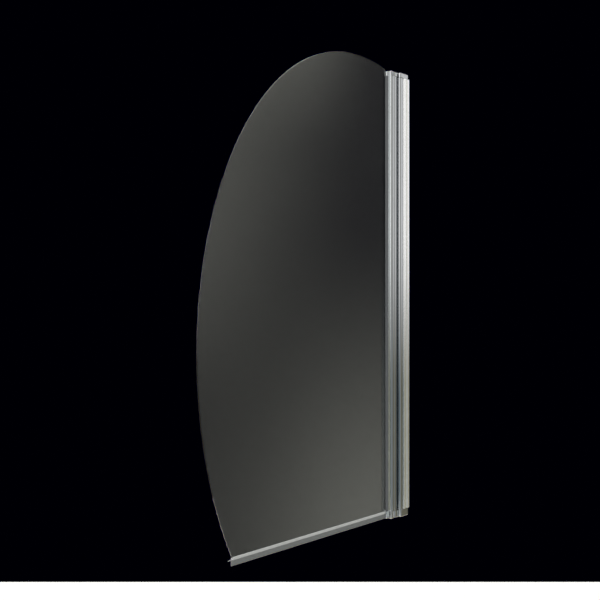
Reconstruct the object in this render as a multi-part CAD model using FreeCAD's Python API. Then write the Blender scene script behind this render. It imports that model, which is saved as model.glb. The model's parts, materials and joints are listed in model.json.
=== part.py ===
"""Half-moon pivoting bath screen.

A wall channel takes a sliding hinge post, which carries one swinging panel of clear glass.
The frame is in millimetres. The origin is the centre of the middle wall hole on the wall plane
X = 0. The panel reaches along -X, the dry side of the screen faces -Y and +Z is up.
"""

import FreeCAD, Part
import math
import os
from FreeCAD import Vector

os.makedirs("parts", exist_ok=True)

# Overall sizes
REACH = 802.0                # wall to the widest point of the glass
POST_HEIGHT = 1378.0         # underside of the bottom caps to the top of the top caps
CROWN_RISE = 23.0            # crown of the glass above the top caps
SWEEP_CENTRE_X = -183.0      # centre of the ellipse that the glass edge follows
SWEEP_CENTRE_HEIGHT = 498.5  # above the underside of the bottom caps
SWEEP_LEAN = 3.3             # degrees that the long axis leans away from the wall

# Glass
GLASS_THICKNESS = 5.0
GLASS_BACK_INSET = 3.5       # wet face of the glass in front of the profile's wet side
GLASS_HEIGHT_OFF_BASE = 16.3
GLASS_CORNER_RADIUS = 4.0
CLIP_DROP = 16.0             # clipped hinge corner starts this far under the cap top

# Wall channel
CHANNEL_DEPTH = 27.0
CHANNEL_WIDTH = 40.0
CHANNEL_WALL = 2.2
CHANNEL_LIP_RADIUS = 1.0
CHANNEL_FLUTE_X = -12.5
CHANNEL_FLUTE_WIDTH = 7.0
CHANNEL_FLUTE_DEPTH = 0.9
WALL_HOLE_RADIUS = 2.75
WALL_HOLE_INSET = 129.0      # end of the caps to the outer wall holes

# Hinge post, which slides in the channel
POST_CLEARANCE = 0.3         # each side, inside the channel
POST_WALL = 1.8
POST_FACE_WALL = 4.0
POST_FACE_GAP = 0.6          # knuckle to post face
POST_FRONT_RADIUS = 5.0
POST_WALL_GAP = 4.0          # wall plane to the post's open edge
POST_MOUTH = 20.0            # width of the opening that clears the wall screws

# Pivot profile, which grips the glass
PIVOT_AXIS_X = -57.5
KNUCKLE_RADIUS = 13.0
KNUCKLE_BORE = 6.5
PROFILE_REACH = 23.5         # pivot axis to the face that the glass leaves
PROFILE_CORNER_RADIUS = 3.0
PROFILE_WALL = 2.4
SLOT_DEPTH = 12.5
FRONT_FLUTES = ((17.8, 5.0, 1.2), (6.7, 3.5, 0.6))   # distance from the axis, width, depth
BACK_FLUTES = ((17.8, 5.0, 0.6), (6.7, 3.5, 0.6))

# Glazing
FRONT_GASKET = 2.0
BACK_GASKET = 1.5
GASKET_GRIP = 10.0
FRONT_BEAD_REACH = 5.0
FRONT_BEAD_SPREAD = 5.0
BACK_BEAD_REACH = 3.5
BACK_BEAD_SPREAD = 1.4
SPACER_THICKNESS = 2.0
SPACER_LENGTH = 60.0

# End caps
CAP_BOTTOM = 22.0
CAP_TOP = 14.0
CAP_SIDE_STEP = 0.5          # post cap inside the channel's flank line
CAP_WALL_GAP = 4.5
CHANNEL_END_GAP = 0.3
BOSS_RADIUS = 11.5
BOSS_CLEARANCE = 0.5
NOSE_BOTTOM = 8.5
NOSE_TOP = 4.0
NOSE_FRONT_Y = -1.5
NOSE_RADIUS = 4.0
NOSE_ROUNDING = 0.875        # largest share of a nose that its rounding takes
CAP_ROOF = 3.0
GLASS_SLOT_CLEARANCE = 0.3
SPIGOT_HEIGHT = 8.0
SPIGOT_CLEARANCE = 0.3
POST_SPIGOT_DEPTH = 14.0
PROFILE_SPIGOT_DEPTH = 2.0

# Pivot pins and bushes
PIN_RADIUS = 4.0
PIN_SEAT_BOTTOM = 14.0
PIN_SEAT_TOP = 8.0
PIN_ENGAGEMENT = 16.0
BUSH_CLEARANCE = 0.06
BUSH_FLANGE_RADIUS = 10.0
BUSH_FLANGE = 1.9
FLANGE_GAP = 0.1

# Screws
PORT_HOLE = 1.75
PORT_RING = 3.5
CAP_SCREW_RADIUS = 1.7
CAP_SCREW_HEAD_RADIUS = 3.3
CAP_SCREW_HEAD = 2.4
CAP_SCREW_BITE = 12.0
COUNTERBORE_RADIUS = 3.7
COUNTERBORE_BOTTOM = 12.0
COUNTERBORE_TOP = 6.0
PORT_CLEARANCE = 0.25        # cap hole around the screw port
PORT_SINK = 0.2              # how far a port's ring sinks into the wall beside it
POST_PORT_X = -30.0
PROFILE_PORT_INSET = 3.0     # port centre to the end of the pivot cap
ADJUSTER_X = -8.0
ADJUSTER_TRAVEL = 12.0
ADJUSTER_INSET = 239.0       # end of the caps to the outer adjuster screws
ADJUSTER_RADIUS = 1.95
ADJUSTER_HOLE = 2.0
ADJUSTER_SLOT = 2.2
ADJUSTER_HEAD_RADIUS = 3.6
ADJUSTER_HEAD = 2.4
ADJUSTER_BITE = 7.0
WASHER_RADIUS = 5.0
WASHER_HOLE = 2.1
WASHER_THICKNESS = 1.0
WASHER_GAP = 0.1
COVER_WALL = 0.8
COVER_CLEARANCE = 0.1
COVER_GAP = 0.3

# Seam strip between the post and the knuckle
STRIP_WIDTH = 5.0
STRIP_ROOT = 2.2
STRIP_GAP = 0.3

# Bottom seal
SEAL_GRIP = 7.2
SEAL_WALL = 1.3
SEAL_BASE = 2.0
SEAL_OVERHANG = 7.5
SEAL_CAP_GAP = 0.3
LIP_THICKNESS = 1.4
LIP_CLEARANCE = 0.3
FIN_SPREAD = 6.6
FIN_DROP = 4.6
FIN_THICKNESS = 1.4

# Places worked out from the sizes above
BASE = -POST_HEIGHT / 2
TOP = POST_HEIGHT / 2
PROFILE_LOW = BASE + CAP_BOTTOM
PROFILE_HIGH = TOP - CAP_TOP
POST_FACE_X = PIVOT_AXIS_X + KNUCKLE_RADIUS + POST_FACE_GAP
POST_HALF = CHANNEL_WIDTH / 2 - CHANNEL_WALL - POST_CLEARANCE
POST_INNER = POST_HALF - POST_WALL
POST_PORT_Y = POST_INNER - PORT_RING + PORT_SINK
PROFILE_FACE_X = PIVOT_AXIS_X - PROFILE_REACH
GLASS_BACK = KNUCKLE_RADIUS - GLASS_BACK_INSET
GLASS_FRONT = GLASS_BACK - GLASS_THICKNESS
SLOT_FRONT = GLASS_FRONT - FRONT_GASKET
SLOT_BACK = GLASS_BACK + BACK_GASKET
SLOT_FLOOR_X = PROFILE_FACE_X + SLOT_DEPTH
GLASS_EDGE_X = SLOT_FLOOR_X - SPACER_THICKNESS
GLASS_BASE = BASE + GLASS_HEIGHT_OFF_BASE
GLASS_CLIP_Z = TOP - CLIP_DROP
CAP_END_X = PIVOT_AXIS_X - BOSS_RADIUS - BOSS_CLEARANCE
PROFILE_PORT = (CAP_END_X - PROFILE_PORT_INSET, PROFILE_WALL - KNUCKLE_RADIUS + PORT_RING - 2 * PORT_SINK)
ADJUSTER_HEIGHTS = (BASE + ADJUSTER_INSET, 0.0, TOP - ADJUSTER_INSET)
WALL_HOLE_HEIGHTS = (BASE + WALL_HOLE_INSET, 0.0, TOP - WALL_HOLE_INSET)


def bar(x0, x1, y0, y1, z0, z1):
    """A square-cornered block between two corners."""
    return Part.makeBox(x1 - x0, y1 - y0, z1 - z0, Vector(x0, y0, z0))


def rod(x, y, radius, z0, z1):
    """An upright cylinder."""
    return Part.makeCylinder(radius, z1 - z0, Vector(x, y, z0), Vector(0, 0, 1))


def cross_rod(x, z, radius, y0, y1):
    """A cylinder that runs along Y."""
    return Part.makeCylinder(radius, y1 - y0, Vector(x, y0, z), Vector(0, 1, 0))


def join(first, *others):
    """One solid from pieces that overlap or meet."""
    return first.fuse(list(others)).removeSplitter()


def cut(shape, *tools):
    """The shape with every tool taken away."""
    return shape.cut(Part.makeCompound(list(tools)))


def corner_points(before, corner, after, radius):
    """Start, middle and end of the arc that rounds one corner."""
    back = (before - corner).normalize()
    ahead = (after - corner).normalize()
    half = back.getAngle(ahead) / 2
    centre = corner + (back + ahead).normalize() * (radius / math.sin(half))
    start = corner + back * (radius / math.tan(half))
    end = corner + ahead * (radius / math.tan(half))
    middle = centre + (corner - centre).normalize() * radius
    return start, middle, end


def outline(corners):
    """A closed face from (point, corner radius) pairs, with every given corner rounded."""
    edges = []
    ends = []
    for index, (point, radius) in enumerate(corners):
        start, end = point, point
        if radius:
            before = corners[index - 1][0]
            after = corners[(index + 1) % len(corners)][0]
            start, middle, end = corner_points(before, point, after, radius)
            edges.append(Part.Arc(start, middle, end).toShape())
        ends.append((start, end))
    for index, (_, leave) in enumerate(ends):
        arrive = ends[(index + 1) % len(ends)][0]
        edges.append(Part.LineSegment(leave, arrive).toShape())
    return Part.Face(Part.Wire(Part.__sortEdges__(edges)))


def prism(corners, z0, z1):
    """An upright extrusion of (x, y, corner radius) corners."""
    face = outline([(Vector(x, y, z0), radius) for x, y, radius in corners])
    return face.extrude(Vector(0, 0, z1 - z0))


def run_along_x(corners, x0, x1):
    """An extrusion along X of (y, z) corners."""
    face = outline([(Vector(x0, y, z), 0) for y, z in corners])
    return face.extrude(Vector(x1 - x0, 0, 0))


def flute(x, side, face_y, width, depth, z0, z1):
    """The tool for a shallow round groove down a flat face at Y = side * face_y."""
    radius = (width * width / 4 + depth * depth) / (2 * depth)
    return rod(x, side * (face_y + radius - depth), radius, z0, z1)


def export(name, *solids):
    """Write one sub-part, which may be a group of separate solids."""
    shape = solids[0] if len(solids) == 1 else Part.makeCompound(list(solids))
    shape.exportStep("parts/" + name + ".step")


def sweep_axes():
    """Half lengths of the long and the short axis of the ellipse that the glass edge follows."""
    half_width = REACH + SWEEP_CENTRE_X
    half_height = POST_HEIGHT + CROWN_RISE - SWEEP_CENTRE_HEIGHT
    total = half_height ** 2 + half_width ** 2
    spread = (half_height ** 2 - half_width ** 2) / math.cos(2 * math.radians(SWEEP_LEAN))
    return math.sqrt((total + spread) / 2), math.sqrt((total - spread) / 2)


def sweep_left_x(z):
    """X of the outer glass edge at one height."""
    long_half, short_half = sweep_axes()
    lean = -math.radians(SWEEP_LEAN)
    rise = z - (BASE + SWEEP_CENTRE_HEIGHT)
    square = (math.sin(lean) / long_half) ** 2 + (math.cos(lean) / short_half) ** 2
    linear = 2 * rise * math.sin(lean) * math.cos(lean) * (long_half ** -2 - short_half ** -2)
    rest = (rise * math.cos(lean) / long_half) ** 2 + (rise * math.sin(lean) / short_half) ** 2 - 1
    return SWEEP_CENTRE_X - (linear + math.sqrt(linear ** 2 - 4 * square * rest)) / (2 * square)


def wall_channel():
    """U-section that is screwed to the wall, open towards the glass."""
    half = CHANNEL_WIDTH / 2
    low = PROFILE_LOW + CHANNEL_END_GAP
    high = PROFILE_HIGH - CHANNEL_END_GAP
    lip = CHANNEL_LIP_RADIUS
    section = [(-CHANNEL_DEPTH, -half, lip), (0, -half, 0), (0, half, 0), (-CHANNEL_DEPTH, half, lip)]
    body = prism(section, low, high)
    inner = half - CHANNEL_WALL
    hollow = bar(-CHANNEL_DEPTH - 1, -CHANNEL_WALL, -inner, inner, low - 1, high + 1)
    groove = flute(CHANNEL_FLUTE_X, -1, half, CHANNEL_FLUTE_WIDTH, CHANNEL_FLUTE_DEPTH, low - 1, high + 1)
    tools = [hollow, groove]
    for z in WALL_HOLE_HEIGHTS:
        start = Vector(-CHANNEL_WALL - 1, 0, z)
        tools.append(Part.makeCylinder(WALL_HOLE_RADIUS, CHANNEL_WALL + 2, start, Vector(1, 0, 0)))
    for z in ADJUSTER_HEIGHTS:
        tools.append(adjuster_slot(z, inner - 1, half + 1))
    return cut(body, *tools)


def adjuster_slot(z, y0, y1):
    """Round-ended slot that the adjuster screw slides along."""
    far_x = ADJUSTER_X - ADJUSTER_TRAVEL
    middle = bar(far_x, ADJUSTER_X, y0, y1, z - ADJUSTER_SLOT, z + ADJUSTER_SLOT)
    ends = [cross_rod(x, z, ADJUSTER_SLOT, y0, y1) for x in (far_x, ADJUSTER_X)]
    return join(middle, *ends)


def hinge_post():
    """C-section that slides in the channel, with a thick face towards the knuckle."""
    half = POST_HALF
    radius = POST_FRONT_RADIUS
    low, high = PROFILE_LOW, PROFILE_HIGH
    back = -POST_WALL_GAP
    face = POST_FACE_X
    section = [(face, -half, radius), (back, -half, 0), (back, half, 0), (face, half, radius)]
    body = prism(section, low, high)
    hollow_x = POST_FACE_X + POST_FACE_WALL
    hollow = bar(hollow_x, back - POST_WALL, -POST_INNER, POST_INNER, low - 1, high + 1)
    mouth = bar(back - POST_WALL - 1, back + 1, -POST_MOUTH / 2, POST_MOUTH / 2, low - 1, high + 1)
    strip_half = STRIP_WIDTH / 2
    groove = bar(POST_FACE_X - 1, POST_FACE_X + STRIP_ROOT, -strip_half, strip_half, low - 1, high + 1)
    body = cut(body, hollow, mouth, groove)
    rings = [rod(POST_PORT_X, side * POST_PORT_Y, PORT_RING, low, high) for side in (-1, 1)]
    holes = [rod(POST_PORT_X, side * POST_PORT_Y, PORT_HOLE, low - 1, high + 1) for side in (-1, 1)]
    holes += [cross_rod(ADJUSTER_X, z, ADJUSTER_HOLE, POST_INNER - 1, half + 1) for z in ADJUSTER_HEIGHTS]
    return cut(join(body, *rings), *holes)


def seam_strip():
    """Flat rubber strip in the post's face, just clear of the turning knuckle."""
    front = PIVOT_AXIS_X + KNUCKLE_RADIUS + STRIP_GAP
    half = STRIP_WIDTH / 2
    return bar(front, POST_FACE_X + STRIP_ROOT, -half, half, PROFILE_LOW, PROFILE_HIGH)


def pivot_profile():
    """Extrusion with the knuckle bore, a screw port and the slot that grips the glass."""
    half = KNUCKLE_RADIUS
    radius = PROFILE_CORNER_RADIUS
    low, high = PROFILE_LOW, PROFILE_HIGH
    left = PROFILE_FACE_X
    right = PIVOT_AXIS_X
    section = [(left, -half, radius), (right, -half, 0), (right, half, 0), (left, half, radius / 2)]
    body = join(prism(section, low, high), rod(PIVOT_AXIS_X, 0, half, low, high))
    slot = bar(left - 1, SLOT_FLOOR_X, SLOT_FRONT, SLOT_BACK, low - 1, high + 1)
    bore = rod(PIVOT_AXIS_X, 0, KNUCKLE_BORE, low - 1, high + 1)
    web = SLOT_FRONT - PROFILE_WALL / 2
    hollow_end = PIVOT_AXIS_X - KNUCKLE_BORE - PROFILE_WALL
    hollow = bar(left + PROFILE_WALL, hollow_end, PROFILE_WALL - half, web, low - 1, high + 1)
    grooves = []
    for side, flutes in ((-1, FRONT_FLUTES), (1, BACK_FLUTES)):
        for distance, width, depth in flutes:
            x = PIVOT_AXIS_X - distance
            grooves.append(flute(x, side, half, width, depth, low - 1, high + 1))
    body = cut(body, slot, bore, hollow)
    x, y = PROFILE_PORT
    body = join(body, rod(x, y, PORT_RING, low, high))
    return cut(body, rod(x, y, PORT_HOLE, low - 1, high + 1), *grooves)


def glass_panel():
    """Half-moon pane, cut straight at the seal and at the hinge, with one clipped corner."""
    long_half, short_half = sweep_axes()
    lean = -math.radians(SWEEP_LEAN)
    centre = Vector(SWEEP_CENTRE_X, GLASS_FRONT, BASE + SWEEP_CENTRE_HEIGHT)
    long_end = centre + Vector(math.sin(lean), 0, math.cos(lean)) * long_half
    short_end = centre + Vector(math.cos(lean), 0, -math.sin(lean)) * short_half
    ellipse = Part.Ellipse(long_end, short_end, centre)
    sweep = Part.Face(Part.Wire(ellipse.toShape())).extrude(Vector(0, GLASS_THICKNESS, 0))
    beyond = -2 * REACH
    above = 2 * (CROWN_RISE + CLIP_DROP)
    corners = [
        (beyond, GLASS_BASE),
        (GLASS_EDGE_X, GLASS_BASE),
        (GLASS_EDGE_X, GLASS_CLIP_Z),
        (GLASS_EDGE_X - above, GLASS_CLIP_Z + above),
        (beyond, GLASS_CLIP_Z + above),
    ]
    face = outline([(Vector(x, GLASS_FRONT, z), 0) for x, z in corners])
    pane = sweep.common(face.extrude(Vector(0, GLASS_THICKNESS, 0)))
    return round_glass_corner(pane)


def round_glass_corner(pane):
    """Round the low outer corner, where the swept edge meets the straight bottom edge."""
    corner_x = sweep_left_x(GLASS_BASE)
    edges = []
    for edge in pane.Edges:
        point = edge.CenterOfMass
        if abs(point.x - corner_x) < 0.5 and abs(point.z - GLASS_BASE) < 0.5:
            edges.append(edge)
    return pane.makeFillet(GLASS_CORNER_RADIUS, edges)


def glazing_gasket_front():
    """Grey wedge gasket between the profile and the dry face of the glass."""
    grip_x = PROFILE_FACE_X + GASKET_GRIP
    section = [
        (grip_x, SLOT_FRONT, 0),
        (grip_x, GLASS_FRONT, 0),
        (PROFILE_FACE_X - FRONT_BEAD_REACH, GLASS_FRONT, 0),
        (PROFILE_FACE_X, SLOT_FRONT - FRONT_BEAD_SPREAD, 0),
        (PROFILE_FACE_X, SLOT_FRONT, 0),
    ]
    return prism(section, PROFILE_LOW, PROFILE_HIGH)


def glazing_gasket_back():
    """Thinner gasket on the wet face of the glass."""
    grip_x = PROFILE_FACE_X + GASKET_GRIP
    section = [
        (grip_x, GLASS_BACK, 0),
        (grip_x, SLOT_BACK, 0),
        (PROFILE_FACE_X, SLOT_BACK, 0),
        (PROFILE_FACE_X, SLOT_BACK + BACK_BEAD_SPREAD, 0),
        (PROFILE_FACE_X - BACK_BEAD_REACH, GLASS_BACK, 0),
    ]
    return prism(section, PROFILE_LOW, PROFILE_HIGH)


def glass_spacers():
    """Packers between the glass edge and the slot floor, low, middle and high."""
    low = PROFILE_LOW + SPACER_LENGTH
    high = PROFILE_HIGH - 2 * SPACER_LENGTH
    starts = (low, (low + high) / 2, high)
    return [bar(GLASS_EDGE_X, SLOT_FLOOR_X, GLASS_FRONT, GLASS_BACK, z, z + SPACER_LENGTH) for z in starts]


def post_cap(outer_z, inner_z, counterbore, pin_seat):
    """Cap of the post with the pivot boss. outer_z is its exposed end, inner_z its post end."""
    inward = 1 if inner_z > outer_z else -1
    low, high = sorted((outer_z, inner_z))
    half = CHANNEL_WIDTH / 2 - CAP_SIDE_STEP
    radius = POST_FRONT_RADIUS
    section = [
        (POST_FACE_X, -half, radius),
        (-CAP_WALL_GAP, -half, radius / 2),
        (-CAP_WALL_GAP, half, radius / 2),
        (POST_FACE_X, half, radius),
    ]
    boss_z = inner_z - inward * (BUSH_FLANGE + FLANGE_GAP)
    boss_low, boss_high = sorted((outer_z, boss_z))
    boss = rod(PIVOT_AXIS_X, 0, BOSS_RADIUS, boss_low, boss_high)
    neck = bar(PIVOT_AXIS_X, POST_FACE_X + radius, -BOSS_RADIUS, BOSS_RADIUS, boss_low, boss_high)
    spigot_low, spigot_high = sorted((inner_z, inner_z + inward * SPIGOT_HEIGHT))
    spigot_x = POST_FACE_X + POST_FACE_WALL + SPIGOT_CLEARANCE
    spigot_half = POST_PORT_Y - PORT_RING - SPIGOT_CLEARANCE
    spigot = bar(spigot_x, spigot_x + POST_SPIGOT_DEPTH, -spigot_half, spigot_half, spigot_low, spigot_high)
    body = join(prism(section, low, high), boss, neck, spigot)
    floor_z = outer_z + inward * counterbore
    tools = []
    for side in (-1, 1):
        y = side * POST_PORT_Y
        tools.append(rod(POST_PORT_X, y, COUNTERBORE_RADIUS, *sorted((outer_z - inward, floor_z))))
        tools.append(rod(POST_PORT_X, y, PORT_HOLE + PORT_CLEARANCE, low - 1, high + 1))
    seat_low, seat_high = sorted((boss_z + inward, boss_z - inward * pin_seat))
    tools.append(rod(PIVOT_AXIS_X, 0, PIN_RADIUS, seat_low, seat_high))
    return cut(body, *tools)


def pivot_pin(inner_z, inward, pin_seat):
    """Steel pin from its seat in the boss into the bush."""
    boss_z = inner_z - inward * (BUSH_FLANGE + FLANGE_GAP)
    ends = sorted((boss_z - inward * pin_seat, inner_z + inward * PIN_ENGAGEMENT))
    return rod(PIVOT_AXIS_X, 0, PIN_RADIUS, *ends)


def pivot_bush(inner_z, inward):
    """Flanged nylon bush in the knuckle bore."""
    sleeve = rod(PIVOT_AXIS_X, 0, KNUCKLE_BORE, *sorted((inner_z, inner_z + inward * PIN_ENGAGEMENT)))
    flange = rod(PIVOT_AXIS_X, 0, BUSH_FLANGE_RADIUS, *sorted((inner_z, inner_z - inward * BUSH_FLANGE)))
    ends = sorted((inner_z - inward * (BUSH_FLANGE + 1), inner_z + inward * (PIN_ENGAGEMENT + 1)))
    return cut(join(sleeve, flange), rod(PIVOT_AXIS_X, 0, PIN_RADIUS + BUSH_CLEARANCE, *ends))


def pivot_cap(outer_z, inner_z, nose, counterbore, glass_slot):
    """Cap of the pivot profile, with a nose round the glass. glass_slot is cut away for the pane."""
    inward = 1 if inner_z > outer_z else -1
    low, high = sorted((outer_z, inner_z))
    half = KNUCKLE_RADIUS
    left = PROFILE_FACE_X
    radius = PROFILE_CORNER_RADIUS
    block = [(left, -half, radius), (CAP_END_X, -half, 0), (CAP_END_X, half, 0), (left, half, radius / 2)]
    tip = left - nose
    round_nose = min(NOSE_RADIUS, nose * NOSE_ROUNDING)
    front = [
        (tip, NOSE_FRONT_Y, round_nose),
        (left + radius, NOSE_FRONT_Y, 0),
        (left + radius, half, 0),
        (tip, half, round_nose),
    ]
    spigot_x = left + PROFILE_WALL + SPIGOT_CLEARANCE
    spigot_ends = sorted((inner_z, inner_z + inward * SPIGOT_HEIGHT))
    spigot_y0 = PROFILE_WALL - half + SPIGOT_CLEARANCE
    spigot_y1 = SLOT_FRONT - PROFILE_WALL / 2 - SPIGOT_CLEARANCE
    spigot = bar(spigot_x, spigot_x + PROFILE_SPIGOT_DEPTH, spigot_y0, spigot_y1, *spigot_ends)
    body = join(prism(block, low, high), prism(front, low, high), spigot)
    x, y = PROFILE_PORT
    floor_z = outer_z + inward * counterbore
    head = rod(x, y, COUNTERBORE_RADIUS, *sorted((outer_z - inward, floor_z)))
    hole = rod(x, y, PORT_HOLE + PORT_CLEARANCE, low - 1, high + 1)
    return cut(body, head, hole, glass_slot)


def bottom_glass_slot():
    """Room in the bottom pivot cap for the foot of the glass."""
    gap = GLASS_SLOT_CLEARANCE
    tip = PROFILE_FACE_X - NOSE_BOTTOM - 1
    y0 = GLASS_FRONT - gap
    y1 = GLASS_BACK + gap
    return bar(tip, GLASS_EDGE_X + gap, y0, y1, GLASS_BASE - gap, PROFILE_LOW + 1)


def top_glass_slot():
    """Room in the top pivot cap, open at the nose and roofed over the clipped corner."""
    gap = GLASS_SLOT_CLEARANCE
    y0 = GLASS_FRONT - gap
    y1 = GLASS_BACK + gap
    roofed = bar(PROFILE_FACE_X - 1, GLASS_EDGE_X + gap, y0, y1, PROFILE_HIGH - 1, TOP - CAP_ROOF)
    nose = bar(PROFILE_FACE_X - NOSE_TOP - 1, PROFILE_FACE_X, y0, y1, PROFILE_HIGH - 1, TOP + 1)
    return join(roofed, nose)


def cap_screw(x, y, outer_z, inner_z, counterbore):
    """Pan-head screw through an end cap into a screw port."""
    inward = 1 if inner_z > outer_z else -1
    floor_z = outer_z + inward * counterbore
    head = rod(x, y, CAP_SCREW_HEAD_RADIUS, *sorted((floor_z - inward * CAP_SCREW_HEAD, floor_z)))
    shank = rod(x, y, CAP_SCREW_RADIUS, *sorted((floor_z, inner_z + inward * CAP_SCREW_BITE)))
    return join(head, shank)


def adjuster_screw(z):
    """Screw through the channel slot into the post."""
    seat = CHANNEL_WIDTH / 2 + WASHER_GAP + WASHER_THICKNESS
    shank = cross_rod(ADJUSTER_X, z, ADJUSTER_RADIUS, POST_HALF - ADJUSTER_BITE, seat)
    head = cross_rod(ADJUSTER_X, z, ADJUSTER_HEAD_RADIUS, seat, seat + ADJUSTER_HEAD)
    return join(shank, head)


def adjuster_washer(z):
    """Flat washer under the adjuster screw's head."""
    start = CHANNEL_WIDTH / 2 + WASHER_GAP
    end = start + WASHER_THICKNESS
    disc = cross_rod(ADJUSTER_X, z, WASHER_RADIUS, start, end)
    return cut(disc, cross_rod(ADJUSTER_X, z, WASHER_HOLE, start - 1, end + 1))


def adjuster_cover(z):
    """Push-on cap that grips the washer's rim and hides the screw head."""
    start = CHANNEL_WIDTH / 2 + COVER_GAP
    inside = WASHER_RADIUS + COVER_CLEARANCE
    ceiling = CHANNEL_WIDTH / 2 + WASHER_GAP + WASHER_THICKNESS + ADJUSTER_HEAD + COVER_CLEARANCE
    shell = cross_rod(ADJUSTER_X, z, inside + COVER_WALL, start, ceiling + COVER_WALL)
    return cut(shell, cross_rod(ADJUSTER_X, z, inside, start - 1, ceiling))


def seal_ends():
    """X of the seal's free end and of the end that meets the bottom pivot cap's nose."""
    return sweep_left_x(GLASS_BASE) - SEAL_OVERHANG, PROFILE_FACE_X - NOSE_BOTTOM - SEAL_CAP_GAP


def seal_carrier():
    """Rigid clip that grips the bottom edge of the glass."""
    front = GLASS_FRONT - SEAL_WALL
    back = GLASS_BACK + SEAL_WALL
    foot = GLASS_BASE - SEAL_BASE
    crown = GLASS_BASE + SEAL_GRIP
    section = [
        (front, foot),
        (back, foot),
        (back, crown),
        (GLASS_BACK, crown),
        (GLASS_BACK, GLASS_BASE),
        (GLASS_FRONT, GLASS_BASE),
        (GLASS_FRONT, crown),
        (front, crown),
    ]
    return run_along_x(section, *seal_ends())


def seal_wiper():
    """Soft upright lip that hangs to the rim of the bath."""
    front = GLASS_FRONT - SEAL_WALL
    foot = GLASS_BASE - SEAL_BASE
    low = BASE + LIP_CLEARANCE
    section = [(front, low), (front + LIP_THICKNESS, low), (front + LIP_THICKNESS, foot), (front, foot)]
    return run_along_x(section, *seal_ends())


def seal_drip_fin():
    """Soft sloping fin that throws drips back into the bath."""
    back = GLASS_BACK + SEAL_WALL
    foot = GLASS_BASE - SEAL_BASE
    slope = math.atan2(FIN_DROP, FIN_SPREAD)
    across = FIN_THICKNESS * math.sin(slope)
    down = FIN_THICKNESS * math.cos(slope)
    section = [
        (back - FIN_THICKNESS / math.sin(slope), foot),
        (back, foot),
        (back + FIN_SPREAD, foot - FIN_DROP),
        (back + FIN_SPREAD - across, foot - FIN_DROP - down),
    ]
    return run_along_x(section, *seal_ends())


def build_wall_and_post():
    """Everything that stays with the wall or slides with the post."""
    export("wall_channel", wall_channel())
    export("hinge_post", hinge_post())
    export("seam_strip", seam_strip())
    export("post_cap_bottom", post_cap(BASE, PROFILE_LOW, COUNTERBORE_BOTTOM, PIN_SEAT_BOTTOM))
    export("post_cap_top", post_cap(TOP, PROFILE_HIGH, COUNTERBORE_TOP, PIN_SEAT_TOP))
    screws = []
    for side in (-1, 1):
        y = side * POST_PORT_Y
        screws.append(cap_screw(POST_PORT_X, y, BASE, PROFILE_LOW, COUNTERBORE_BOTTOM))
        screws.append(cap_screw(POST_PORT_X, y, TOP, PROFILE_HIGH, COUNTERBORE_TOP))
    export("post_cap_screws", *screws)
    export("adjuster_screws", *[adjuster_screw(z) for z in ADJUSTER_HEIGHTS])
    export("adjuster_washers", *[adjuster_washer(z) for z in ADJUSTER_HEIGHTS])
    export("adjuster_covers", *[adjuster_cover(z) for z in ADJUSTER_HEIGHTS])
    export("pivot_pin_bottom", pivot_pin(PROFILE_LOW, 1, PIN_SEAT_BOTTOM))
    export("pivot_pin_top", pivot_pin(PROFILE_HIGH, -1, PIN_SEAT_TOP))


def build_screen():
    """Everything that swings with the glass."""
    export("pivot_profile", pivot_profile())
    export("pivot_bush_bottom", pivot_bush(PROFILE_LOW, 1))
    export("pivot_bush_top", pivot_bush(PROFILE_HIGH, -1))
    bottom = pivot_cap(BASE, PROFILE_LOW, NOSE_BOTTOM, COUNTERBORE_BOTTOM, bottom_glass_slot())
    top = pivot_cap(TOP, PROFILE_HIGH, NOSE_TOP, COUNTERBORE_TOP, top_glass_slot())
    export("pivot_cap_bottom", bottom)
    export("pivot_cap_top", top)
    x, y = PROFILE_PORT
    low_screw = cap_screw(x, y, BASE, PROFILE_LOW, COUNTERBORE_BOTTOM)
    high_screw = cap_screw(x, y, TOP, PROFILE_HIGH, COUNTERBORE_TOP)
    export("pivot_cap_screws", low_screw, high_screw)
    export("glass_panel", glass_panel())
    export("glazing_gasket_front", glazing_gasket_front())
    export("glazing_gasket_back", glazing_gasket_back())
    export("glass_spacers", *glass_spacers())
    export("seal_carrier", seal_carrier())
    export("seal_wiper", seal_wiper())
    export("seal_drip_fin", seal_drip_fin())


build_wall_and_post()
build_screen()
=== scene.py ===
"""Half-moon pivoting bath screen: the pieces that show, their finishes, the stage and the camera.

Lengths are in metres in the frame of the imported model: the wall is the plane X = 0, the glass
reaches along -X, the dry side faces -Y and +Z is up.
"""

import json
import math

import bpy
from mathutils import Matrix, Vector


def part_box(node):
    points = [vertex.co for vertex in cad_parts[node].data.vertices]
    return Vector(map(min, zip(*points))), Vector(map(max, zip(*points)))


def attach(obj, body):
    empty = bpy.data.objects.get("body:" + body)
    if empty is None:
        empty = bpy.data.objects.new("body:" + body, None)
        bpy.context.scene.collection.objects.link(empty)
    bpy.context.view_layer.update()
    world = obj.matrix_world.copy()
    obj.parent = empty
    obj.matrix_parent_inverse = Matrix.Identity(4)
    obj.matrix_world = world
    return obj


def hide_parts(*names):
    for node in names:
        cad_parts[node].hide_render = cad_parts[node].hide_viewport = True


bl_info = {
    "name": "Bath Screen",
    "version": (1, 0, 0),
    "blender": (4, 5, 0),
    "location": "View3D > Sidebar > Bath Screen",
    "description": "Builds a half-moon pivoting bath screen around its packed model",
    "category": "Add Mesh",
}

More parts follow.
